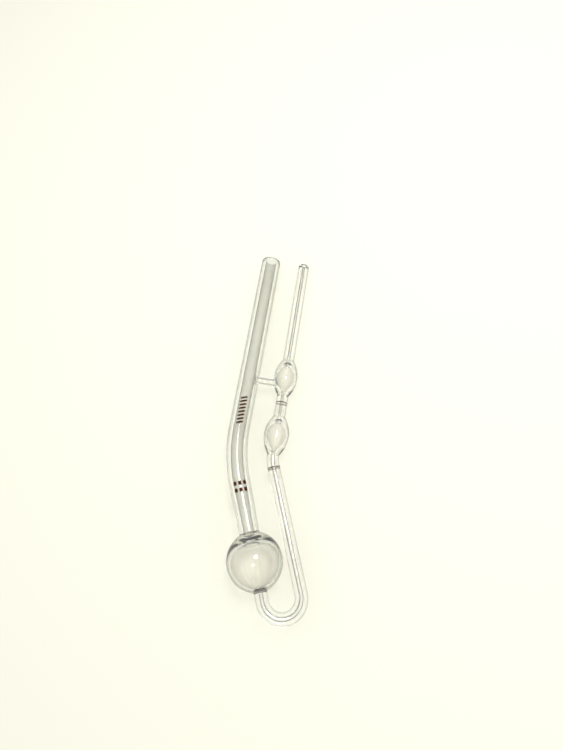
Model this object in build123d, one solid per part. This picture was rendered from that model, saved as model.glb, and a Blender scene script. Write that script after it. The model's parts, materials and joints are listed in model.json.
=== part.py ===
# A glass U-tube viscometer lying on a bench, one solid for each blown, bent or drawn length of glass.
#
# The instrument is drawn flat, in its own plane: +Y runs up the two parallel arms to their mouths,
# +X from the fill arm to the suction arm, and both bend corners lie on Y = 0, the fill arm's at the
# origin. Below the corners both legs lean towards +X. At the end it is laid on the bench, where it
# rests on three places: the reservoir and the rims of the two mouths.
import os
from math import asin, cos, degrees, radians, sin, sqrt, tan

from build123d import *

# Layout of the arms
overall_length = 250.0        # mouths to the outside of the U bend
upper_length = 153.0          # mouths down to the bend corners
arm_spacing = 25.0            # between the arms' axes, above the corners
lean = 21.0                   # how far the lower legs turn from the arms, in degrees

# Fill arm
fill_od = 13.8
fill_wall = 2.9
fill_bend_radius = 100.0
foot_od = 12.6                # the tube narrows towards the reservoir
foot_wall = 3.0

# Reservoir
reservoir_od = 34.4
reservoir_wall = 2.4
reservoir_swell = 18.2        # of its side arcs; over half its diameter, so the bulb is a little long
reservoir_distance = 68.0     # from the fill arm's corner, along the leg
reservoir_shoulder = 4.5      # glass left between the bulb's hollow and the foot's end
foot_blend = 0.9              # radius of the melted seam outside the foot
outlet_blend = 1.2            # and outside the outlet
mouth_blend = 0.8             # rounding where the foot's bore opens into the bulb
funnel_blend = 2.0            # and where the bulb runs out into the capillary bore

# Capillary leg and U bend
capillary_od = 8.0
capillary_bore = 2.35
capillary_bend_radius = 20.0

# Suction arm with its two bulbs
suction_od = 7.8
suction_bore = 1.9
timing_bulb_od = 16.5
timing_bulb_centre = 17.5     # heights above the corners
timing_bulb_top = 31.0
upper_bulb_od = 16.0
upper_bulb_bottom = 45.5
upper_bulb_centre = 59.5
upper_bulb_top = 73.0
bulb_wall = 2.0
bulb_blend = 2.0              # radius of the seam outside each bulb's ends
cavity_blend = 1.0            # and inside
cavity_inset = 3.4            # how far a bulb's hollow stops short of its ends

# Mouths
fill_lip = 1.2                # rounding of each fire-polished rim
suction_lip = 1.1

# Brace between the arms
brace_od = 5.6
brace_height = 54.3
brace_blend = 1.5             # the rod spreads over this radius where it is fused on
brace_sink = 0.5              # how far the blend starts inside each neighbour's crest

# Fired enamel marks
enamel = 0.06                 # thickness
ring_width = 0.7
upper_ring_height = 40.0
lower_ring_distance = 5.2     # from the corner, along the capillary
maker_mark_base = 19.0        # height of its lowest bar
maker_bar_count = 8
maker_bar_size = (4.6, 1.3)
maker_bar_pitch = 2.5
maker_bar_slant = 20.0
size_mark_distance = 20.5     # from the corner to its upper row
size_mark_rows = 2
size_mark_columns = 3
size_mark_block = (1.9, 2.6)
size_mark_pitch = (3.0, 4.4)

# Worked out from the sizes above
fill_radius = fill_od / 2
fill_bore_radius = fill_radius - fill_wall
foot_radius = foot_od / 2
foot_bore_radius = foot_radius - foot_wall
reservoir_radius = reservoir_od / 2
capillary_radius = capillary_od / 2
suction_radius = suction_od / 2
half_turn = radians(lean / 2)
fill_bend_reach = fill_bend_radius * tan(half_turn)            # corner to either end of the bend
capillary_bend_reach = capillary_bend_radius * tan(half_turn)
u_radius = arm_spacing * cos(radians(lean)) / 2
u_foot = overall_length - upper_length - u_radius - capillary_radius
u_distance = (u_foot + u_radius * sin(radians(lean))) / cos(radians(lean))
capillary_lag = arm_spacing * sin(radians(lean))               # its corner, along the fill leg

fill_leg = Rot(Z=lean)
capillary_leg = Pos(X=arm_spacing) * Rot(Z=lean)
suction_arm = Pos(X=arm_spacing)

parts = {}


def spin(*outline):
    """The closed outline, drawn as radius and height, turned once round the Y axis."""
    return revolve(make_face(Wire(list(outline))), Axis.Y)


def length_of_tube(radius, bore_radius, low, high, low_radius=None, low_bore_radius=None, lip=0):
    """A tube on the Y axis, tapering if its low end has radii of its own, its top rim rounded."""
    corners = [
        (low_bore_radius or bore_radius, low),
        (low_radius or radius, low),
        (radius, high),
        (bore_radius, high),
    ]
    wall = make_face(Polyline(*corners, close=True))
    if lip:
        wall = fillet(wall.vertices().sort_by(Axis.Y)[-2:], lip)
    return revolve(wall, Axis.Y)


def bent_tube(radius, bore_radius, start, bend_radius, turn):
    """A tube that leaves the Y axis downwards at `start` and turns towards +X."""
    ring = Plane(origin=start, x_dir=(1, 0, 0), z_dir=(0, 1, 0)) * (Circle(radius) - Circle(bore_radius))
    return revolve(ring, Axis(Vector(*start) + Vector(bend_radius, 0, 0), (0, 0, 1)), turn)


def ball_reach(belly, stem, blend, swell):
    """Height above a bulb's middle where its outline meets a stem over a blend."""
    return sqrt((swell + blend) ** 2 - (stem + blend + swell - belly) ** 2)


def swell_radius(belly, stem, blend, reach):
    """Radius of the arc from a bulb's belly that meets a stem over a blend at a given reach."""
    gap = belly - stem - blend
    return (reach**2 + gap**2 - blend**2) / (2 * (belly - stem))


def half_outline(belly, stem, blend, swell, side):
    """Belly to stem: an arc of radius `swell`, then the blend's arc. `side` is 1 above, -1 below."""
    reach = ball_reach(belly, stem, blend, swell)
    hub = Vector(belly - swell, 0)
    eye = Vector(stem + blend, reach)
    join = hub + (eye - hub) * (swell / (swell + blend))
    arc_middle = hub + (Vector(1, 0) + (join - hub).normalized()).normalized() * swell
    blend_middle = eye + ((join - eye).normalized() + Vector(-1, 0)).normalized() * blend
    points = [Vector(belly, 0), arc_middle, join, blend_middle, Vector(stem, reach)]
    points = [(point.X, side * point.Y) for point in points]
    return [ThreePointArc(*points[0:3]), ThreePointArc(*points[2:5])], points[-1]


def blown_bulb(outside_above, outside_below, inside_above, inside_below):
    """A hollow bulb about the origin. Each argument is (belly, stem, blend, swell)."""
    arcs = []
    ends = []
    for shape, side in ((outside_above, 1), (inside_above, 1), (inside_below, -1), (outside_below, -1)):
        outline, end = half_outline(*shape, side)
        arcs += outline
        ends.append(end)
    rims = []
    for outer, inner in ((ends[0], ends[1]), (ends[3], ends[2])):
        corner = (inner[0], outer[1])
        rims += [Line(outer, corner), Line(corner, inner)]
    return spin(*arcs, *rims)


def spindle_bulb(belly, wall, above, below):
    """A bulb that runs out into stems. Above and below are (stem radius, bore radius, reach)."""
    shapes = []
    for stem, bore, reach in (above, below):
        shapes.append((belly, stem, bulb_blend, swell_radius(belly, stem, bulb_blend, reach)))
    for stem, bore, reach in (above, below):
        inner_reach = reach - cavity_inset
        inner_swell = swell_radius(belly - wall, bore, cavity_blend, inner_reach)
        shapes.append((belly - wall, bore, cavity_blend, inner_swell))
    return blown_bulb(*shapes)


def solid_bulb(belly, above, below):
    """The same spindle without its hollow, for trimming what is fused to it."""
    arcs = []
    ends = []
    for (stem, bore, reach), side in ((above, 1), (below, -1)):
        swell = swell_radius(belly, stem, bulb_blend, reach)
        outline, end = half_outline(belly, stem, bulb_blend, swell, side)
        arcs += outline
        ends.append(end)
    top, bottom = [(0, end[1]) for end in ends]
    return spin(*arcs, Line(ends[0], top), Line(top, bottom), Line(bottom, ends[1]))


def ring_mark(radius, height):
    """A narrow enamel band round a tube on the Y axis."""
    band = Circle(radius + enamel) - Circle(radius)
    return extrude(Plane.XZ.offset(-height - ring_width / 2) * band, ring_width)


def printed(marks, radius, low, high, low_radius):
    """Flat marks pressed onto the upper side of a tube on the Y axis, as a thin film of enamel."""
    film = length_of_tube(radius + enamel, radius, low, high, low_radius + enamel, low_radius)
    return extrude(marks, radius + enamel) & film


# Fill arm, from its mouth down
parts["fill_tube"] = length_of_tube(
    fill_radius, fill_bore_radius, fill_bend_reach, upper_length, lip=fill_lip
)
parts["fill_bend"] = bent_tube(
    fill_radius, fill_bore_radius, (0, fill_bend_reach, 0), fill_bend_radius, lean
)
reservoir_top = ball_reach(reservoir_radius, foot_radius, foot_blend, reservoir_swell)
foot_end = reservoir_distance - reservoir_top
parts["fill_foot"] = fill_leg * length_of_tube(
    fill_radius, fill_bore_radius, -foot_end, -fill_bend_reach, foot_radius, foot_bore_radius
)

# Reservoir
cavity_radius = reservoir_radius - reservoir_wall
cavity_swell = reservoir_swell - reservoir_wall
shoulder_swell = swell_radius(
    cavity_radius, foot_bore_radius, mouth_blend, reservoir_top - reservoir_shoulder
)
parts["reservoir_bulb"] = fill_leg * Pos(Y=-reservoir_distance) * blown_bulb(
    (reservoir_radius, foot_radius, foot_blend, reservoir_swell),
    (reservoir_radius, capillary_radius, outlet_blend, reservoir_swell),
    (cavity_radius, foot_bore_radius, mouth_blend, shoulder_swell),
    (cavity_radius, capillary_bore / 2, funnel_blend, cavity_swell),
)

# Outlet, U bend and capillary
outlet_reach = ball_reach(reservoir_radius, capillary_radius, outlet_blend, reservoir_swell)
parts["outlet_tube"] = fill_leg * length_of_tube(
    capillary_radius, capillary_bore / 2, -u_distance, -reservoir_distance - outlet_reach
)
parts["u_bend"] = fill_leg * bent_tube(
    capillary_radius, capillary_bore / 2, (0, -u_distance, 0), u_radius, 180
)
parts["capillary_tube"] = capillary_leg * length_of_tube(
    capillary_radius, capillary_bore / 2, capillary_lag - u_distance, -capillary_bend_reach
)
parts["capillary_bend"] = suction_arm * bent_tube(
    capillary_radius, capillary_bore / 2, (0, capillary_bend_reach, 0), capillary_bend_radius, lean
)

# Bulbs and suction arm
stem = (suction_radius, suction_bore / 2)
parts["timing_bulb"] = suction_arm * Pos(Y=timing_bulb_centre) * spindle_bulb(
    timing_bulb_od / 2,
    bulb_wall,
    (*stem, timing_bulb_top - timing_bulb_centre),
    (capillary_radius, capillary_bore / 2, timing_bulb_centre - capillary_bend_reach),
)
parts["neck_tube"] = suction_arm * length_of_tube(*stem, timing_bulb_top, upper_bulb_bottom)
upper_bulb_ends = (
    (*stem, upper_bulb_top - upper_bulb_centre),
    (*stem, upper_bulb_centre - upper_bulb_bottom),
)
upper_bulb_place = suction_arm * Pos(Y=upper_bulb_centre)
parts["upper_bulb"] = upper_bulb_place * spindle_bulb(upper_bulb_od / 2, bulb_wall, *upper_bulb_ends)
parts["suction_tube"] = suction_arm * length_of_tube(
    *stem, upper_bulb_top, upper_length, lip=suction_lip
)

# Brace: a rod spread at both ends, trimmed to the glass it is fused to
brace_radius = brace_od / 2
spread_radius = brace_radius + brace_blend
bulb_side = arm_spacing - upper_bulb_od / 2
brace_outline = []
for crest, inner, way in ((fill_radius, fill_bore_radius, 1), (bulb_side, bulb_side + bulb_wall, -1)):
    foot = crest - way * brace_sink
    shoulder = foot + way * brace_blend
    eye = (spread_radius, shoulder)
    middle = (eye[0] - brace_blend * sqrt(0.5), eye[1] - way * brace_blend * sqrt(0.5))
    brace_outline += [
        Line((0, inner), (spread_radius, inner)),
        Line((spread_radius, inner), (spread_radius, foot)),
        ThreePointArc((spread_radius, foot), middle, (brace_radius, shoulder)),
    ]
ends = [outline @ 1 for outline in (brace_outline[2], brace_outline[5])]
brace_outline += [Line(*ends), Line((0, fill_bore_radius), (0, bulb_side + bulb_wall))]
brace = Pos(Y=brace_height) * Rot(Z=-90) * spin(*brace_outline)
fill_core = Pos(Y=brace_height) * Rot(X=90) * Cylinder(fill_radius, 4 * brace_od)
bulb_core = upper_bulb_place * solid_bulb(upper_bulb_od / 2, *upper_bulb_ends)
parts["brace_rod"] = brace - fill_core - bulb_core

# Enamel
parts["upper_timing_mark"] = suction_arm * ring_mark(suction_radius, upper_ring_height)
parts["lower_timing_mark"] = capillary_leg * ring_mark(capillary_radius, -lower_ring_distance)

bars = Sketch()
for number in range(maker_bar_count):
    place = Pos(Y=maker_mark_base + number * maker_bar_pitch + maker_bar_size[1])
    bars += place * Rot(Z=maker_bar_slant) * Rectangle(*maker_bar_size)
parts["maker_mark"] = printed(bars, fill_radius, fill_bend_reach, upper_length, fill_radius)

blocks = Sketch()
for row in range(size_mark_rows):
    for column in range(size_mark_columns):
        across = (column - (size_mark_columns - 1) / 2) * size_mark_pitch[0]
        blocks += Pos(across, -size_mark_distance - row * size_mark_pitch[1]) * Rectangle(*size_mark_block)

parts["size_mark"] = fill_leg * printed(blocks, fill_radius, -foot_end, -fill_bend_reach, foot_radius)

# Laid on the bench: turned about the fill arm and tipped until the reservoir and both rims touch it.
# Each touches as a ball of its own radius would, so the bench's normal follows from three distances.
fill_rim = Vector(0, upper_length - fill_lip)
suction_rim = Vector(arm_spacing, upper_length - suction_lip)
reservoir_middle = Vector(
    reservoir_distance * sin(radians(lean)), -reservoir_distance * cos(radians(lean))
)
to_suction = suction_rim - fill_rim
to_reservoir = reservoir_middle - fill_rim
suction_step = suction_radius - fill_radius
reservoir_step = reservoir_radius - fill_radius
area = to_suction.X * to_reservoir.Y - to_suction.Y * to_reservoir.X
normal_x = (suction_step * to_reservoir.Y - reservoir_step * to_suction.Y) / area
normal_y = (reservoir_step * to_suction.X - suction_step * to_reservoir.X) / area
tip = asin(normal_y)
roll = asin(-normal_x / cos(tip))
resting = Rot(X=degrees(tip)) * Rot(Y=degrees(roll))
box = Compound(children=[resting * part for part in parts.values()]).bounding_box()
on_bench = Pos(-box.center().X, -box.center().Y, -box.min.Z) * resting

os.makedirs("parts", exist_ok=True)
for name, part in parts.items():
    export_step(on_bench * part, f"parts/{name}.step")
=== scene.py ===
# The looks of a U-tube capillary viscometer that lies on a bench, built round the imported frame.
# Shapes are worked out flat, in millimetres in the instrument's own plane: across from the fill arm to the
# suction arm, up along both arms, and out of the plane. layOnBench turns them to metres in the row frame.
import json
import math

import bpy
import numpy as np
from mathutils import Matrix


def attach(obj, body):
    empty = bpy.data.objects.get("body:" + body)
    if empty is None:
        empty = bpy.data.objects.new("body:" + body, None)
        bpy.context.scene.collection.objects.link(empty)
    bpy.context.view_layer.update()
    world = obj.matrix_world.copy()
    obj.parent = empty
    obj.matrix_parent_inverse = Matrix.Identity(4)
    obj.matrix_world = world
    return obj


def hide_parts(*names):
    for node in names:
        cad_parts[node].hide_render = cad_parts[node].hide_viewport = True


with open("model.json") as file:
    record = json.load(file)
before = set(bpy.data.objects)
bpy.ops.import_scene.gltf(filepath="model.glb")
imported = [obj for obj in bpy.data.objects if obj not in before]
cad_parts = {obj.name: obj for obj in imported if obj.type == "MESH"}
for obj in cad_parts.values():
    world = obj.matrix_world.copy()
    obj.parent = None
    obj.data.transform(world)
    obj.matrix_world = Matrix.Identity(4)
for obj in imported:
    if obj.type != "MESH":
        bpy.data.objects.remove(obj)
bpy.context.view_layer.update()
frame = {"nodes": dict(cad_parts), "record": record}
print("frame: loaded", len(frame["nodes"]), "nodes")

layout = dict(
    overallLength=250.0,      # mouths to the outside of the U bend
    upperLength=153.0,        # mouths down to the bend corners
    armSpacing=25.0,          # between the arms' axes
    lean=math.radians(21.0),  # how far the lower legs turn from the arms
    columns=96,               # points round every tube, the same on all, so that joined rings meet
)
fillTube = dict(outside=13.8, wall=2.9, lip=1.2)
fillBend = dict(radius=100.0)
fillFoot = dict(outside=12.6, wall=3.0)
reservoir = dict(outside=34.4, wall=2.4, swell=18.2, distance=68.0, footBlend=0.9, outletBlend=1.2,
                 mouthBlend=0.8, funnelBlend=2.0, shoulder=4.5)
capillary = dict(outside=8.0, bore=2.35, bendRadius=20.0)
suctionTube = dict(outside=7.8, bore=1.9, lip=1.1)
timingBulb = dict(outside=16.5, wall=2.0, bottom=None, centre=17.5, top=31.0)
upperBulb = dict(outside=16.0, wall=2.0, bottom=45.5, centre=59.5, top=73.0)
bulbSeams = dict(blend=2.0, cavityBlend=1.0, cavityInset=3.4)

halfLean = layout["lean"] / 2
fillReach = fillBend["radius"] * math.tan(halfLean)          # corner to either end of the bend
capillaryReach = capillary["bendRadius"] * math.tan(halfLean)
uRadius = layout["armSpacing"] * math.cos(layout["lean"]) / 2
uFoot = layout["overallLength"] - layout["upperLength"] - uRadius - capillary["outside"] / 2
uDistance = (uFoot + uRadius * math.sin(layout["lean"])) / math.cos(layout["lean"])
capillaryLag = layout["armSpacing"] * math.sin(layout["lean"])
timingBulb["bottom"] = capillaryReach

# Where the flat plane lies: its up is the fill mount's axis, and across points at the suction mount.
mounts = {mount["name"]: mount for mount in frame["record"]["mounts"]}
fillMiddle = np.array(mounts["fill_tube_bore"]["pos_m"]) * 1000    # anywhere on the fill arm's axis
suctionMiddle = np.array(mounts["suction_tube_outside"]["pos_m"]) * 1000
upWay = np.array(mounts["fill_tube_bore"]["axis"])
upWay = upWay / np.linalg.norm(upWay)
acrossWay = suctionMiddle - fillMiddle
acrossWay = acrossWay - (acrossWay @ upWay) * upWay
acrossWay = acrossWay / np.linalg.norm(acrossWay)
plane = np.stack((acrossWay, upWay, np.cross(acrossWay, upWay)))
suctionHeight = (upperBulb["top"] + layout["upperLength"] - suctionTube["lip"]) / 2   # of its mount
fillCorner = suctionMiddle - upWay * suctionHeight - acrossWay * layout["armSpacing"]


def layOnBench(points):
    # row place = fill corner + across part + up part + out part, in metres
    return (fillCorner + points @ plane) / 1000


# Outlines: rows of radius, height along the path, and the outward direction's two parts.

def straightRun(radiusFrom, alongFrom, radiusTo, alongTo, steps, spacing=None):
    # points evenly along a line, or at the given shares of it; outward is a quarter turn right of the way
    share = np.linspace(0, 1, steps + 1) if spacing is None else spacing
    way = np.array([radiusTo - radiusFrom, alongTo - alongFrom])
    way = way / np.linalg.norm(way)
    rows = np.empty((len(share), 4))
    rows[:, 0] = radiusFrom + (radiusTo - radiusFrom) * share
    rows[:, 1] = alongFrom + (alongTo - alongFrom) * share
    rows[:, 2] = way[1]
    rows[:, 3] = -way[0]
    return rows


def arcRun(hub, radius, start, end, steps, facing):
    # point = hub + radius * (cos a, sin a); outward is away from the hub, or towards it where facing is -1
    a = np.linspace(start, end, steps + 1)
    turn = np.stack((np.cos(a), np.sin(a)), 1)
    return np.hstack((np.array(hub) + radius * turn, facing * turn))


def ballReach(belly, stem, blend, swell):
    # height where a bulb's side arc has run out into its stem, from the triangle of the two arc centres
    return math.sqrt((swell + blend) ** 2 - (stem + blend + swell - belly) ** 2)


def swellRadius(belly, stem, blend, reach):
    # radius of the side arc that meets the stem at a given height
    gap = belly - stem - blend
    return (reach ** 2 + gap ** 2 - blend ** 2) / (2 * (belly - stem))


def halfBulb(belly, stem, blend, swell, facing):
    # belly to stem: the side arc about (belly - swell, 0), then the seam's arc about (stem + blend, reach)
    reach = ballReach(belly, stem, blend, swell)
    join = math.atan2(reach, stem + blend - belly + swell)
    side = arcRun((belly - swell, 0), swell, 0, join, 40, facing)
    seam = arcRun((stem + blend, reach), blend, join + math.pi, math.pi, 12, -facing)
    return np.vstack((side, seam[1:]))


def flipped(rows):
    # the same outline below the belly instead of above it
    return rows * (1, -1, 1, -1)


def bulbOutline(above, below, innerAbove, innerBelow):
    # once round the wall: up the outside, down the inside, and the bore run straight to each end's plane
    outside = np.vstack((flipped(halfBulb(*below, 1))[::-1], halfBulb(*above, 1)[1:]))
    insideUp = halfBulb(*innerAbove, -1)
    insideDown = flipped(halfBulb(*innerBelow, -1))
    top = np.array([[innerAbove[1], outside[-1, 1], -1, 0]])
    bottom = np.array([[innerBelow[1], outside[0, 1], -1, 0]])
    return np.vstack((outside, top, insideUp[::-1], insideDown[1:], bottom))


def spindleOutline(bulb, above, below):
    # a bulb drawn out into stems; above and below are (stem radius, bore radius, reach)
    belly = bulb["outside"] / 2
    shapes = []
    for stem, _, reach in (above, below):
        shapes.append((belly, stem, bulbSeams["blend"], swellRadius(belly, stem, bulbSeams["blend"], reach)))
    hollow = belly - bulb["wall"]
    for _, bore, reach in (above, below):
        swell = swellRadius(hollow, bore, bulbSeams["cavityBlend"], reach - bulbSeams["cavityInset"])
        shapes.append((hollow, bore, bulbSeams["cavityBlend"], swell))
    return bulbOutline(*shapes)


def tubeOutline(outside, bore, low, high, steps, lip=0, spacing=None):
    # up the outside, over a rim that is rounded where there is a lip, and down the bore
    top = high - lip
    runs = [straightRun(outside, low, outside, top, steps, spacing)]
    if lip:
        runs.append(arcRun((outside - lip, top), lip, 0, math.pi / 2, 10, 1)[1:])
        runs.append(arcRun((bore + lip, top), lip, math.pi / 2, math.pi, 10, 1)[:-1])
    runs.append(straightRun(bore, top, bore, low, steps))
    return np.vstack(runs)


# Paths: from a height along a piece to its centre and the way ahead, in the flat plane.

def straightPath(start, turn):
    ahead = np.array([-math.sin(turn), math.cos(turn)])

    def path(along):
        centre = np.array(start) + along[:, None] * ahead
        return centre, np.broadcast_to(ahead, centre.shape)
    return path


def bentPath(hub, radius, turn):
    # heights are arc lengths, 0 at the end where the way ahead is turned by turn and falling round the bend
    def path(along):
        a = turn - along / radius
        centre = np.array(hub) - radius * np.stack((np.cos(a), np.sin(a)), 1)
        return centre, np.stack((-np.sin(a), np.cos(a)), 1)
    return path


fillArm = straightPath((0, 0), 0)
suctionArm = straightPath((layout["armSpacing"], 0), 0)
fillLeg = straightPath((0, 0), layout["lean"])
capillaryLeg = straightPath((layout["armSpacing"], 0), layout["lean"])


def newPiece(name, points, faces, kinds, materials, node, normals=None, drawn=None):
    # kinds gives each face its material; drawn is the pattern's own coordinates, round and along the glass
    mesh = bpy.data.meshes.new(name)
    mesh.from_pydata(layOnBench(points), [], faces)
    mesh.polygons.foreach_set("use_smooth", np.ones(len(faces), bool))
    mesh.polygons.foreach_set("material_index", np.asarray(kinds, np.int32))
    for material in materials:
        mesh.materials.append(material)
    if drawn is not None:
        mesh.attributes.new("drawn", "FLOAT_VECTOR", "POINT").data.foreach_set(
            "vector", np.ascontiguousarray(drawn, np.float32).ravel())
    mesh.validate()
    if normals is not None:
        turned = normals @ plane
        mesh.normals_split_custom_set_from_vertices(turned / np.linalg.norm(turned, axis=1)[:, None])
    piece = bpy.data.objects.new(name, mesh)
    bpy.context.scene.collection.objects.link(piece)
    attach(piece, "root")
    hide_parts(node)
    return piece


def ringFaces(rows, columns, closed=True):
    # four-sided faces between neighbouring rows and columns; a closed outline's last row meets its first
    i, j = np.meshgrid(np.arange(rows if closed else rows - 1), np.arange(columns), indexing="ij")
    up, onward = (i + 1) % rows, (j + 1) % columns
    quads = np.stack((i * columns + j, up * columns + j, up * columns + onward, i * columns + onward), -1)
    return quads.reshape(-1, 4)


def carriedGlass(name, outline, path, within, fused=None):
    # point = path centre + radius * (cos a * side + sin a * out), for each outline row and each angle a
    columns = layout["columns"]
    centre, ahead = path(outline[:, 1])
    flat = np.zeros((len(outline), 1, 1))
    centre = np.concatenate((centre[:, None, :], flat), 2)
    ahead = np.concatenate((ahead[:, None, :], flat), 2)
    side = np.stack((ahead[..., 1], -ahead[..., 0], ahead[..., 2]), -1)
    a = np.arange(columns) * 2 * math.pi / columns
    spoke = np.cos(a)[None, :, None] * side + np.sin(a)[None, :, None] * np.array([0, 0, 1.0])
    points = centre + outline[:, 0][:, None, None] * spoke
    normals = outline[:, 2][:, None, None] * spoke + outline[:, 3][:, None, None] * ahead
    drawn = np.stack(np.broadcast_arrays(np.cos(a)[None, :], np.sin(a)[None, :], outline[:, 1][:, None] / 10), -1)
    faces = ringFaces(len(outline), columns)
    facing = outline[:, 2]
    after = np.roll(facing, -1)
    kinds = np.where((facing < -0.5) & (after < -0.5), 1, 0)         # the bore
    kinds = np.where(facing * after < -0.5, 2, kinds)                # a joint straight across the wall
    kinds = np.repeat(kinds, columns)
    points = points.reshape(-1, 3)
    if fused is not None:
        middles = points[faces].mean(1)
        kinds = np.where(fused(middles) & (kinds == 0), 2, kinds)    # where the brace is melted on
    return newPiece(name, points, faces.tolist(), kinds, (clearGlass, within, seamGlass), name,
                    normals.reshape(-1, 3), drawn.reshape(-1, 3))


def newMaterial(name):
    material = bpy.data.materials.new(name)
    material.use_nodes = True
    tree = material.node_tree
    return material, tree, tree.nodes["Principled BSDF"]


def newGroup(name, inputs, outputs):
    group = bpy.data.node_groups.new(name, "ShaderNodeTree")
    for label, kind, value in inputs:
        socket = group.interface.new_socket(name=label, in_out="INPUT", socket_type=kind)
        if value is not None:
            socket.default_value = value
    for label, kind in outputs:
        group.interface.new_socket(name=label, in_out="OUTPUT", socket_type=kind)
    return group, group.nodes.new("NodeGroupInput"), group.nodes.new("NodeGroupOutput")


def drawnLines():
    # faint lines that a tube gets as it is drawn: noise stretched along the glass, plus slow waves in the wall
    group, start, end = newGroup(
        "drawnLines",
        [("Place", "NodeSocketVector", None), ("Lines", "NodeSocketFloat", 9.0), ("Waves", "NodeSocketFloat", 1.2)],
        [("Height", "NodeSocketFloat"), ("Film", "NodeSocketFloat")])
    nodes, links = group.nodes, group.links
    stretch = nodes.new("ShaderNodeMapping")
    stretch.inputs["Scale"].default_value = (1, 1, 0.06)
    links.new(start.outputs["Place"], stretch.inputs["Vector"])
    lines = nodes.new("ShaderNodeTexNoise")
    lines.inputs["Detail"].default_value = 3
    links.new(stretch.outputs["Vector"], lines.inputs["Vector"])
    links.new(start.outputs["Lines"], lines.inputs["Scale"])
    waves = nodes.new("ShaderNodeTexNoise")
    waves.inputs["Detail"].default_value = 1
    links.new(start.outputs["Place"], waves.inputs["Vector"])
    links.new(start.outputs["Waves"], waves.inputs["Scale"])
    height = nodes.new("ShaderNodeMath")
    height.operation = "MULTIPLY_ADD"
    links.new(lines.outputs["Fac"], height.inputs[0])
    height.inputs[1].default_value = 0.25
    links.new(waves.outputs["Fac"], height.inputs[2])
    links.new(height.outputs[0], end.inputs["Height"])
    film = nodes.new("ShaderNodeMapRange")
    film.inputs["From Min"].default_value = 0.3
    film.inputs["From Max"].default_value = 0.7
    links.new(lines.outputs["Fac"], film.inputs["Value"])
    links.new(film.outputs["Result"], end.inputs["Film"])
    return group


drawing = drawnLines()
flame = dict(index=1.47, clear=0.97, bump=0.01, bumpDepth=0.0004)    # what is not clear is fine dust on the glass


def flameGlass(name, tint, dusty, lampShare, paintedSlantShade):
    # blown borosilicate: clear, with drawn lines, and tint to dusty where a faint film has dried on it;
    # paintedSlantShade is painted shade by slant, the colour multiplied in from square on at 0 to grazing at 1
    material, tree, glass = newMaterial(name)
    place = tree.nodes.new("ShaderNodeAttribute")
    place.attribute_name = "drawn"
    lines = tree.nodes.new("ShaderNodeGroup")
    lines.node_tree = drawing
    tree.links.new(place.outputs["Vector"], lines.inputs["Place"])
    bump = tree.nodes.new("ShaderNodeBump")
    bump.inputs["Strength"].default_value = flame["bump"]
    bump.inputs["Distance"].default_value = flame["bumpDepth"]
    tree.links.new(lines.outputs["Height"], bump.inputs["Height"])
    tree.links.new(bump.outputs["Normal"], glass.inputs["Normal"])
    film = tree.nodes.new("ShaderNodeMix")
    film.data_type = "RGBA"
    film.inputs["A"].default_value = (*tint, 1)
    film.inputs["B"].default_value = (*dusty, 1)
    tree.links.new(lines.outputs["Film"], film.inputs["Factor"])
    # painted shade: seen from the air, the glass colour is darkened towards its grazing edges; seen from within, it
    # is not
    slant = tree.nodes.new("ShaderNodeLayerWeight")
    slant.inputs["Blend"].default_value = 0.5
    side = tree.nodes.new("ShaderNodeNewGeometry")
    airSlant = tree.nodes.new("ShaderNodeMath")
    airSlant.operation = "SUBTRACT"
    airSlant.use_clamp = True
    tree.links.new(slant.outputs["Facing"], airSlant.inputs[0])
    tree.links.new(side.outputs["Backfacing"], airSlant.inputs[1])
    shade = tree.nodes.new("ShaderNodeValToRGB")
    shade.color_ramp.elements[0].color = (1, 1, 1, 1)
    shade.color_ramp.elements[1].color = (*paintedSlantShade[-1][1], 1)
    for position, colour in paintedSlantShade[:-1]:
        shade.color_ramp.elements.new(position).color = (*colour, 1)
    tree.links.new(airSlant.outputs[0], shade.inputs["Fac"])
    both = tree.nodes.new("ShaderNodeMix")
    both.data_type = "RGBA"
    both.blend_type = "MULTIPLY"
    both.inputs["Factor"].default_value = 1
    tree.links.new(film.outputs["Result"], both.inputs["A"])
    tree.links.new(shade.outputs["Color"], both.inputs["B"])
    tree.links.new(both.outputs["Result"], glass.inputs["Base Color"])
    glass.inputs["Roughness"].default_value = 0
    glass.inputs["IOR"].default_value = flame["index"]
    glass.inputs["Transmission Weight"].default_value = flame["clear"]
    # lamps shine through almost unshadowed, as they do through clear glass on a bright table
    path = tree.nodes.new("ShaderNodeLightPath")
    through = tree.nodes.new("ShaderNodeBsdfTransparent")
    through.inputs["Color"].default_value = (*lampShare, 1)
    choice = tree.nodes.new("ShaderNodeMixShader")
    tree.links.new(path.outputs["Is Shadow Ray"], choice.inputs["Fac"])
    tree.links.new(glass.outputs["BSDF"], choice.inputs[1])
    tree.links.new(through.outputs["BSDF"], choice.inputs[2])
    tree.links.new(choice.outputs["Shader"], tree.nodes["Material Output"].inputs["Surface"])
    return material


def meltedSeam():
    # inside the glass, where two lengths are melted together and nothing is left to see
    material, tree, glass = newMaterial("meltedSeam")
    tree.nodes.remove(glass)
    through = tree.nodes.new("ShaderNodeBsdfTransparent")
    tree.links.new(through.outputs["BSDF"], tree.nodes["Material Output"].inputs["Surface"])
    return material


fired = dict(dark=(0.030, 0.006, 0.001, 1), pale=(0.115, 0.028, 0.0045, 1), blotches=900, shine=0.15,
             roughness=(0.35, 0.75))


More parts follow.
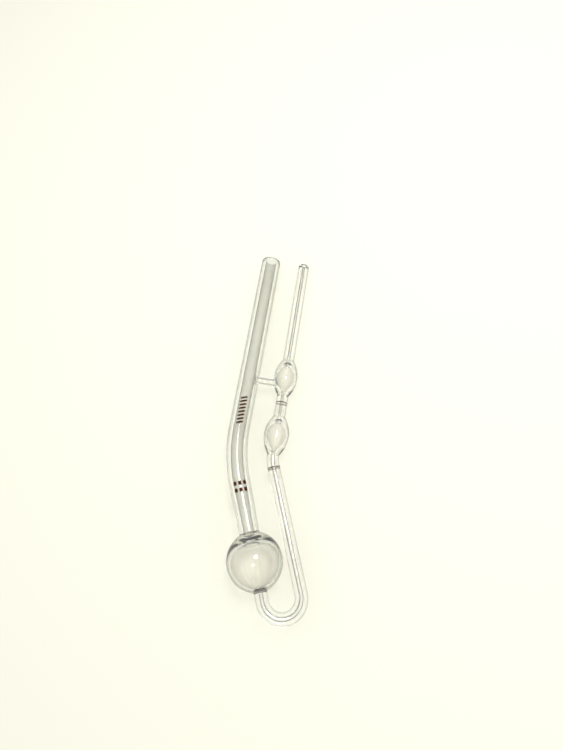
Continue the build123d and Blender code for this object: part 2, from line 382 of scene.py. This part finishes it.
def firedEnamel():
    # brown-red enamel, fired matt and a little worn: blotches of a paler red, rougher where it is worn
    material, tree, enamel = newMaterial("firedEnamel")
    place = tree.nodes.new("ShaderNodeTexCoord")
    blotches = tree.nodes.new("ShaderNodeTexNoise")
    blotches.inputs["Scale"].default_value = fired["blotches"]
    blotches.inputs["Detail"].default_value = 4
    tree.links.new(place.outputs["Object"], blotches.inputs["Vector"])
    colours = tree.nodes.new("ShaderNodeValToRGB")
    colours.color_ramp.elements[0].position = 0.42
    colours.color_ramp.elements[0].color = fired["dark"]
    colours.color_ramp.elements[1].position = 0.72
    colours.color_ramp.elements[1].color = fired["pale"]
    tree.links.new(blotches.outputs["Fac"], colours.inputs["Fac"])
    tree.links.new(colours.outputs["Color"], enamel.inputs["Base Color"])
    enamel.inputs["Specular IOR Level"].default_value = fired["shine"]
    worn = tree.nodes.new("ShaderNodeMapRange")
    worn.inputs["To Min"].default_value = fired["roughness"][0]
    worn.inputs["To Max"].default_value = fired["roughness"][1]
    tree.links.new(blotches.outputs["Fac"], worn.inputs["Value"])
    tree.links.new(worn.outputs["Result"], enamel.inputs["Roughness"])
    return material


clearGlass = flameGlass(    # the outsides of the tubes and bulbs, with painted shade for dark outlines at their grazing edges
    "clearGlass", tint=(0.99, 0.99, 0.98), dusty=(0.96, 0.96, 0.945), lampShare=(0.88, 0.88, 0.87),
    paintedSlantShade=((0.28, (1, 1, 1)), (0.50, (0.74, 0.74, 0.72)), (0.70, (0.28, 0.28, 0.26)), (1, (0.02, 0.02, 0.018))))
boreGlass = flameGlass(     # the fill arm's and the neck's bores: greyed by painted shade, for the shade seen through them, and streaked by a dried film; painted shade also darkens them towards their edges
    "boreGlass", tint=(0.82, 0.82, 0.805), dusty=(0.72, 0.72, 0.70), lampShare=(0.88, 0.88, 0.87),
    paintedSlantShade=((0.12, (0.95, 0.95, 0.94)), (0.35, (0.62, 0.62, 0.60)), (0.60, (0.22, 0.22, 0.20)),
         (1, (0.03, 0.03, 0.025))))
bulbGlass = flameGlass(     # the bulbs' hollows, with painted shade darkening them from the middle towards their edges
    "bulbGlass", tint=(1, 0.99, 0.97), dusty=(0.88, 0.87, 0.84), lampShare=(0.92, 0.92, 0.91),
    paintedSlantShade=((0.05, (0.98, 0.98, 0.97)), (0.30, (0.78, 0.78, 0.76)), (0.65, (0.56, 0.56, 0.54)),
         (1, (0.30, 0.30, 0.28))))
rodGlass = flameGlass(      # the brace, with painted shade for its dark edge lines
    "rodGlass", tint=(0.98, 0.98, 0.97), dusty=(0.93, 0.93, 0.91), lampShare=(0.88, 0.88, 0.87),
    paintedSlantShade=((0.10, (0.94, 0.94, 0.92)), (0.32, (0.48, 0.48, 0.46)), (0.55, (0.12, 0.12, 0.11)),
         (1, (0.02, 0.02, 0.018))))
capillaryGlass = flameGlass(     # the narrow bores, whose dark lines are painted shade at their grazing edges
    "capillaryGlass", tint=(1, 1, 1), dusty=(0.97, 0.97, 0.96), lampShare=(0.88, 0.88, 0.87),
    paintedSlantShade=((0.10, (0.90, 0.90, 0.88)), (0.28, (0.22, 0.22, 0.20)), (0.50, (0.01, 0.01, 0.01)),
         (1, (0.005, 0.005, 0.005))))
seamGlass = meltedSeam()
enamelRed = firedEnamel()
print("materials: made")

brace = dict(outside=5.6, height=54.3, foot=3.9, rise=1.3)   # foot: radius of the melted collar on each tube
fillRadius = fillTube["outside"] / 2
bulbPlace = layout["armSpacing"]


def underCollar(points, sideOfTube):
    # inside the circle of the brace's collar, on the side of the tube that faces the brace
    near = np.hypot(points[:, 1] - brace["height"], points[:, 2]) < brace["foot"]
    return near & sideOfTube(points[:, 0])


length = layout["upperLength"] - fillTube["lip"] - fillReach
braceShare = (brace["height"] - fillReach) / length
spread = 5.0 / length
spacing = np.unique(np.concatenate((
    np.linspace(0, braceShare - spread, 14), np.linspace(braceShare - spread, braceShare + spread, 41),
    np.linspace(braceShare + spread, 1, 30))))
carriedGlass(
    "fill_tube",
    tubeOutline(fillRadius, fillRadius - fillTube["wall"], fillReach, layout["upperLength"], 60,
                fillTube["lip"], spacing),
    fillArm, boreGlass, lambda points: underCollar(points, lambda x: x > 0))

turnLength = fillBend["radius"] * layout["lean"]
carriedGlass(
    "fill_bend",
    tubeOutline(fillRadius, fillRadius - fillTube["wall"], -turnLength, 0, 48),
    bentPath((fillBend["radius"], fillReach), fillBend["radius"], 0), boreGlass)

footRadius = fillFoot["outside"] / 2
reservoirRadius = reservoir["outside"] / 2
reservoirTop = ballReach(reservoirRadius, footRadius, reservoir["footBlend"], reservoir["swell"])
footEnd = reservoir["distance"] - reservoirTop


def footOutline():
    # radius eases from the reservoir's stem to the fill tube's, as a drawn taper does: 3s^2 - 2s^3
    share = np.linspace(0, 1, 41)
    ease = share ** 2 * (3 - 2 * share)
    slope = 6 * share * (1 - share) / (footEnd - fillReach)
    along = -footEnd + (footEnd - fillReach) * share
    rows = []
    for low, high, facing in ((footRadius, fillRadius, 1),
                              (footRadius - fillFoot["wall"], fillRadius - fillTube["wall"], -1)):
        radius = low + (high - low) * ease
        rise = (high - low) * slope
        size = np.hypot(1, rise)
        rows.append(np.stack((radius, along, facing / size, -facing * rise / size), 1)[::facing])
    return np.vstack(rows)


carriedGlass("fill_foot", footOutline(), fillLeg, boreGlass)

cavityRadius = reservoirRadius - reservoir["wall"]
cavitySwell = reservoir["swell"] - reservoir["wall"]
capillaryRadius = capillary["outside"] / 2
boreRadius = capillary["bore"] / 2
bulb = bulbOutline(
    (reservoirRadius, footRadius, reservoir["footBlend"], reservoir["swell"]),
    (reservoirRadius, capillaryRadius, reservoir["outletBlend"], reservoir["swell"]),
    (cavityRadius, footRadius - fillFoot["wall"], reservoir["mouthBlend"],
     swellRadius(cavityRadius, footRadius - fillFoot["wall"], reservoir["mouthBlend"],
                 reservoirTop - reservoir["shoulder"])),
    (cavityRadius, boreRadius, reservoir["funnelBlend"], cavitySwell))
bulb[:, 1] -= reservoir["distance"]
carriedGlass("reservoir_bulb", bulb, fillLeg, bulbGlass)

outletReach = ballReach(reservoirRadius, capillaryRadius, reservoir["outletBlend"], reservoir["swell"])
carriedGlass(
    "outlet_tube",
    tubeOutline(capillaryRadius, boreRadius, -uDistance, -reservoir["distance"] - outletReach, 4), fillLeg,
    capillaryGlass)
lean = layout["lean"]
uHub = (uRadius * math.cos(lean) + uDistance * math.sin(lean), uRadius * math.sin(lean) - uDistance * math.cos(lean))
carriedGlass(
    "u_bend", tubeOutline(capillaryRadius, boreRadius, -math.pi * uRadius, 0, 96), bentPath(uHub, uRadius, lean),
    capillaryGlass)
carriedGlass(
    "capillary_tube", tubeOutline(capillaryRadius, boreRadius, capillaryLag - uDistance, -capillaryReach, 40),
    capillaryLeg, capillaryGlass)
carriedGlass(
    "capillary_bend", tubeOutline(capillaryRadius, boreRadius, -capillary["bendRadius"] * lean, 0, 24),
    bentPath((bulbPlace + capillary["bendRadius"], capillaryReach), capillary["bendRadius"], 0), capillaryGlass)

suctionRadius = suctionTube["outside"] / 2
suctionBore = suctionTube["bore"] / 2
bulb = spindleOutline(
    timingBulb,
    (suctionRadius, suctionBore, timingBulb["top"] - timingBulb["centre"]),
    (capillaryRadius, boreRadius, timingBulb["centre"] - timingBulb["bottom"]))
bulb[:, 1] += timingBulb["centre"]
carriedGlass("timing_bulb", bulb, suctionArm, bulbGlass)
carriedGlass(
    "neck_tube", tubeOutline(suctionRadius, suctionBore, timingBulb["top"], upperBulb["bottom"], 12), suctionArm,
    boreGlass)
bulb = spindleOutline(
    upperBulb,
    (suctionRadius, suctionBore, upperBulb["top"] - upperBulb["centre"]),
    (suctionRadius, suctionBore, upperBulb["centre"] - upperBulb["bottom"]))
bulb[:, 1] += upperBulb["centre"]
carriedGlass("upper_bulb", bulb, suctionArm, bulbGlass,
             lambda points: underCollar(points, lambda x: x < bulbPlace))
carriedGlass(
    "suction_tube",
    tubeOutline(suctionRadius, suctionBore, upperBulb["top"], layout["upperLength"], 40, suctionTube["lip"]),
    suctionArm, capillaryGlass)
print("glass: tubes and bulbs made")


def braceSkin(radius, a, end):
    # the height, depth and across place of a point on the tube or bulb, radius away from the brace's axis
    up = brace["height"] + radius * np.cos(a)
    out = radius * np.sin(a)
    if end == "fill":
        across = np.sqrt(fillRadius ** 2 - out ** 2)
    else:
        belly = upperBulb["outside"] / 2
        swell = swellRadius(belly, suctionRadius, bulbSeams["blend"], upperBulb["centre"] - upperBulb["bottom"])
        girth = belly - swell + np.sqrt(swell ** 2 - (up - upperBulb["centre"]) ** 2)
        across = bulbPlace - np.sqrt(girth ** 2 - out ** 2)
    return np.stack((across, up, out), -1)


def braceRod():
    # a rod whose ends melt out into collars: each collar is a quadratic curve from its foot, along the
    # neighbour's skin to the rod's radius, then along the rod; both ends are closed by that same skin
    columns = layout["columns"]
    rod = brace["outside"] / 2
    discRows = 7     # between the middle of each closing skin and its rim
    a = np.arange(columns)[None, :] * 2 * math.pi / columns
    t = np.linspace(0, 1, 15)[:, None, None]
    halves = []
    for end, way in (("fill", 1), ("bulb", -1)):
        foot = braceSkin(np.full((1, 1), brace["foot"]), a, end)
        heel = braceSkin(np.full((1, 1), rod), a, end)
        neck = heel.copy()
        neck[..., 0] = (heel[..., 0] * way).max() * way + way * brace["rise"]
        collar = (1 - t) ** 2 * foot + 2 * t * (1 - t) * heel + t ** 2 * neck
        disc = braceSkin(np.linspace(0, brace["foot"], discRows + 2)[1:-1, None], a, end)
        halves.append(np.concatenate((disc, collar), 0))
    rows = np.concatenate((halves[0], halves[1][::-1]), 0)
    count = len(rows)
    points = rows.reshape(-1, 3)
    poles = np.concatenate([braceSkin(np.zeros((1, 1)), a[:, :1], end).reshape(1, 3) for end in ("fill", "bulb")])
    quads = ringFaces(count, columns, closed=False)
    j = np.arange(columns)
    nextOne = (j + 1) % columns
    first = len(points)
    fans = [np.stack((np.full(columns, first), j, nextOne), 1),
            np.stack((np.full(columns, first + 1), (count - 1) * columns + nextOne, (count - 1) * columns + j), 1)]
    band = np.arange(count - 1)
    kinds = np.repeat(np.where((band < discRows) | (band >= count - 1 - discRows), 1, 0), columns)
    kinds = np.concatenate((kinds, np.ones(2 * columns, int)))
    points = np.concatenate((points, poles))
    drawn = np.stack((points[:, 1] - brace["height"], points[:, 2], points[:, 0] / 10), 1) / (rod, rod, 1)
    faces = quads.tolist() + fans[0].tolist() + fans[1].tolist()
    return newPiece("brace_rod", points, faces, kinds, (rodGlass, seamGlass), "brace_rod", drawn=drawn)


braceRod()
print("glass: brace made")

enamel = dict(thick=0.06, sunk=0.018)     # its inner face lies just inside the glass it is fired into
rings = dict(width=0.7, upper=40.0, lower=-5.2)
makerMark = dict(base=19.0, count=8, size=(4.6, 1.3), pitch=2.5, slant=math.radians(20))
sizeMark = dict(distance=20.5, rows=2, columns=3, block=(1.9, 2.6), pitch=(3.0, 4.4))


def ringMark(name, radius, height, path):
    # a flat bead: radius = glass + thickness * (1 - s^6), s from -1 to 1 across its width, and a sunk inner face
    columns = layout["columns"]
    s = np.linspace(-1, 1, 15)
    outer = np.stack((radius + enamel["thick"] * (1 - s ** 6), height + s * rings["width"] / 2), 1)
    inner = np.stack((np.full(15, radius - enamel["sunk"]), outer[:, 1]), 1)[::-1]
    rows = np.vstack((outer, inner))
    centre, ahead = path(rows[:, 1])
    side = np.stack((ahead[:, 1], -ahead[:, 0]), 1)
    a = np.arange(columns) * 2 * math.pi / columns
    points = np.zeros((len(rows), columns, 3))
    points[..., :2] = centre[:, None, :] + rows[:, 0][:, None, None] * np.cos(a)[None, :, None] * side[:, None, :]
    points[..., 2] = rows[:, 0][:, None] * np.sin(a)[None, :]
    faces = ringFaces(len(rows), columns)
    return newPiece(name, points.reshape(-1, 3), faces.tolist(), np.zeros(len(faces)), (enamelRed,), name)


def printedMark(name, places, size, slant, path, radiusAt):
    # each block is |u / half width|^5 + |v / half height|^5 = 1, turned by its slant and pressed on the tube's
    # upper side: out = square root of ((radius + height of the film)^2 - across^2)
    columns = 48
    a = np.arange(columns) * 2 * math.pi / columns
    circle = np.stack((np.cos(a), np.sin(a)), 1)
    corner = np.sign(circle) * np.abs(circle) ** 0.4
    share = np.array([0.04, 0.3, 0.55, 0.8, 0.96, 1, 1, 0.8, 0.55, 0.3, 0.04])
    film = np.array([1, 1, 1, 1, 1, 0.5, 0, 0, 0, 0, 0]) * (enamel["thick"] + enamel["sunk"]) - enamel["sunk"]
    block = share[:, None, None] * corner * np.array(size) / 2
    turn = np.array([[math.cos(slant), math.sin(slant)], [-math.sin(slant), math.cos(slant)]])
    flat = np.array(places)[:, None, None, :] + block @ turn
    across, along = flat[..., 0], flat[..., 1]
    out = np.sqrt((radiusAt(along) + film[None, :, None]) ** 2 - across ** 2)
    centre, ahead = path(along.reshape(-1))
    side = np.stack((ahead[:, 1], -ahead[:, 0]), 1)
    points = np.column_stack((centre + across.reshape(-1, 1) * side, out.reshape(-1)))
    rows = len(share)
    starts = np.arange(len(places)) * rows * columns
    quads = (ringFaces(rows, columns, closed=False)[None] + starts[:, None, None]).reshape(-1, 4)
    tops = starts[:, None] + np.arange(columns)
    bottoms = starts[:, None] + rows * columns - 1 - np.arange(columns)
    faces = quads.tolist() + tops.tolist() + bottoms.tolist()
    return newPiece(name, points, faces, np.zeros(len(faces)), (enamelRed,), name)


ringMark("upper_timing_mark", suctionRadius, rings["upper"], suctionArm)
ringMark("lower_timing_mark", capillaryRadius, rings["lower"], capillaryLeg)
number = np.arange(makerMark["count"])
printedMark(
    "maker_mark", np.stack((number * 0.0, makerMark["base"] + makerMark["size"][1] + number * makerMark["pitch"]), 1),
    makerMark["size"], makerMark["slant"], fillArm, lambda along: fillRadius)
row, column = np.meshgrid(np.arange(sizeMark["rows"]), np.arange(sizeMark["columns"]), indexing="ij")
blocks = np.stack(((column - (sizeMark["columns"] - 1) / 2) * sizeMark["pitch"][0],
                   -sizeMark["distance"] - row * sizeMark["pitch"][1]), -1).reshape(-1, 2)


def footSkin(along):
    # the foot's outside radius, by the same easing as its outline
    share = (along + footEnd) / (footEnd - fillReach)
    return footRadius + (fillRadius - footRadius) * share ** 2 * (3 - 2 * share)


printedMark("size_mark", blocks, sizeMark["block"], 0, fillLeg, footSkin)
print("enamel: rings, bars and blocks made")

view = dict(place=(0.0511, -0.1040, 0.3715), heading=22.08, tilt=22.21, roll=-14.74, lens=36.0)
camera = bpy.data.objects.new("camera", bpy.data.cameras.new("camera"))
bpy.context.scene.collection.objects.link(camera)
camera.data.sensor_fit = "HORIZONTAL"
camera.data.sensor_width = 36
camera.data.lens = view["lens"]
camera.data.clip_start = 0.01
camera.matrix_world = Matrix.Translation(view["place"]) @ (
    Matrix.Rotation(math.radians(view["heading"]), 4, "Z") @ Matrix.Rotation(math.radians(view["tilt"]), 4, "X")
    @ Matrix.Rotation(math.radians(view["roll"]), 4, "Z"))
bpy.context.scene.camera = camera

cloth = dict(colour=(0.86, 0.85, 0.73, 1), roughness=0.9, half=4.0)
floorMaterial, floorTree, floorShader = newMaterial("paleCloth")
floorShader.inputs["Base Color"].default_value = cloth["colour"]
floorShader.inputs["Roughness"].default_value = cloth["roughness"]
half = cloth["half"]
floorMesh = bpy.data.meshes.new("floor")
floorMesh.from_pydata([(-half, -half, 0), (half, -half, 0), (half, half, 0), (-half, half, 0)], [], [(0, 1, 2, 3)])
floorMesh.materials.append(floorMaterial)
floor = bpy.data.objects.new("floor", floorMesh)
bpy.context.scene.collection.objects.link(floor)

studio = dict(room=(0.60, 0.60, 0.60), roomStrength=1.0, keyPlace=(0.17, 0.27, 1.0), keySize=0.42, keyPower=5.0,
              panelPlace=(0.3, 0.4, 1.6), panelSize=0.4, panelPower=7.5, bounces=80)
world = bpy.data.worlds.new("studio")
bpy.context.scene.world = world
world.use_nodes = True
world.node_tree.nodes["Background"].inputs["Color"].default_value = (*studio["room"], 1)
world.node_tree.nodes["Background"].inputs["Strength"].default_value = studio["roomStrength"]


def softLamp(name, place, size, power):
    lamp = bpy.data.objects.new(name, bpy.data.lights.new(name, "AREA"))
    lamp.data.shape = "SQUARE"
    lamp.data.size = size
    lamp.data.energy = power
    lamp.location = place
    lamp.rotation_euler = (-lamp.location).to_track_quat("-Z", "Y").to_euler()
    bpy.context.scene.collection.objects.link(lamp)
    return lamp


key = softLamp("keyPanel", studio["keyPlace"], studio["keySize"], studio["keyPower"])
key.visible_glossy = False           # of the two lamps, only the ceiling panel shows in the glass
key.visible_transmission = False
softLamp("ceilingPanel", studio["panelPlace"], studio["panelSize"], studio["panelPower"])
bpy.context.scene.view_settings.view_transform = "Standard"
bpy.context.scene.cycles.max_bounces = studio["bounces"]
bpy.context.scene.cycles.transmission_bounces = studio["bounces"]
bpy.context.scene.cycles.transparent_max_bounces = studio["bounces"]
